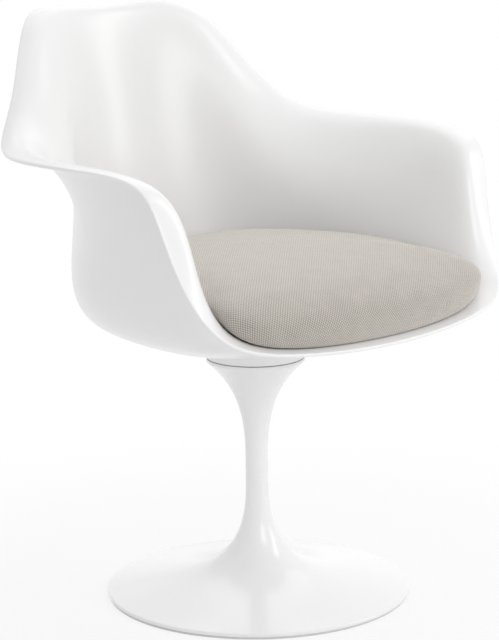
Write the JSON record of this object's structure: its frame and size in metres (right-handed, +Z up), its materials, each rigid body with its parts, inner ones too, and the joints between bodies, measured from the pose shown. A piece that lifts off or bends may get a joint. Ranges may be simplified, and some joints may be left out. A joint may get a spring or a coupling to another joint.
{
  "type": "pedestal swivel armchair",
  "caption": "Armchair with a one-piece moulded shell seat, rolled lip and loose seat cushion, turning on a round trumpet-shaped cast pedestal.",
  "frame": {"origin": "centre of the glide ring's underside on the floor, on the swivel axis", "axes": "+Z up along the swivel axis, -Y towards the front of the seat, X across the arms"},
  "size_m": [0.673, 0.601, 0.8131],
  "materials": {
    "shell": "glossy white gel coat",
    "pedestal": "cast, with a satin white coating",
    "glide": "moulded translucent white plastic",
    "bush": "moulded bearing plastic",
    "bronze": "plain bearing bronze",
    "steel": "turned and zinc plated",
    "cover": "fine greige woven upholstery",
    "foam": "moulded foam",
    "hook": "hook tape",
    "loop": "loop tape",
    "zip": "woven tape with a plastic coil"
  },
  "bodies": {
    "pedestal": {"pedestal_base": "pedestal", "glide_ring": "glide", "lower_bush": "bush", "upper_bush": "bush", "thrust_washer": "bronze", "retaining_cap": "steel", "retaining_cap_screws": "steel"},
    "seat": {"spindle": "steel", "seat_hub": "pedestal", "hub_bolt": "steel", "hub_bolt_washer": "steel", "seat_shell": "shell", "spreader_plate": "steel", "shell_screws": "steel", "hook_strips": "hook"},
    "cushion": {"loop_strips": "loop", "cushion_foam": "foam", "cushion_cover_top": "cover", "cushion_cover_base": "cover", "cushion_zip": "zip"}
  },
  "joints": [
    {"name": "seat_swivel", "type": "hinge", "parent": "pedestal", "child": "seat", "pos_m": [0, 0, 0.329], "axis": [0, 0, 1], "continuous": true},
    {"name": "cushion_lift", "type": "slide", "parent": "seat", "child": "cushion", "axis": [0, 0, 1], "range_m": [0, 0.08]}
  ]
}
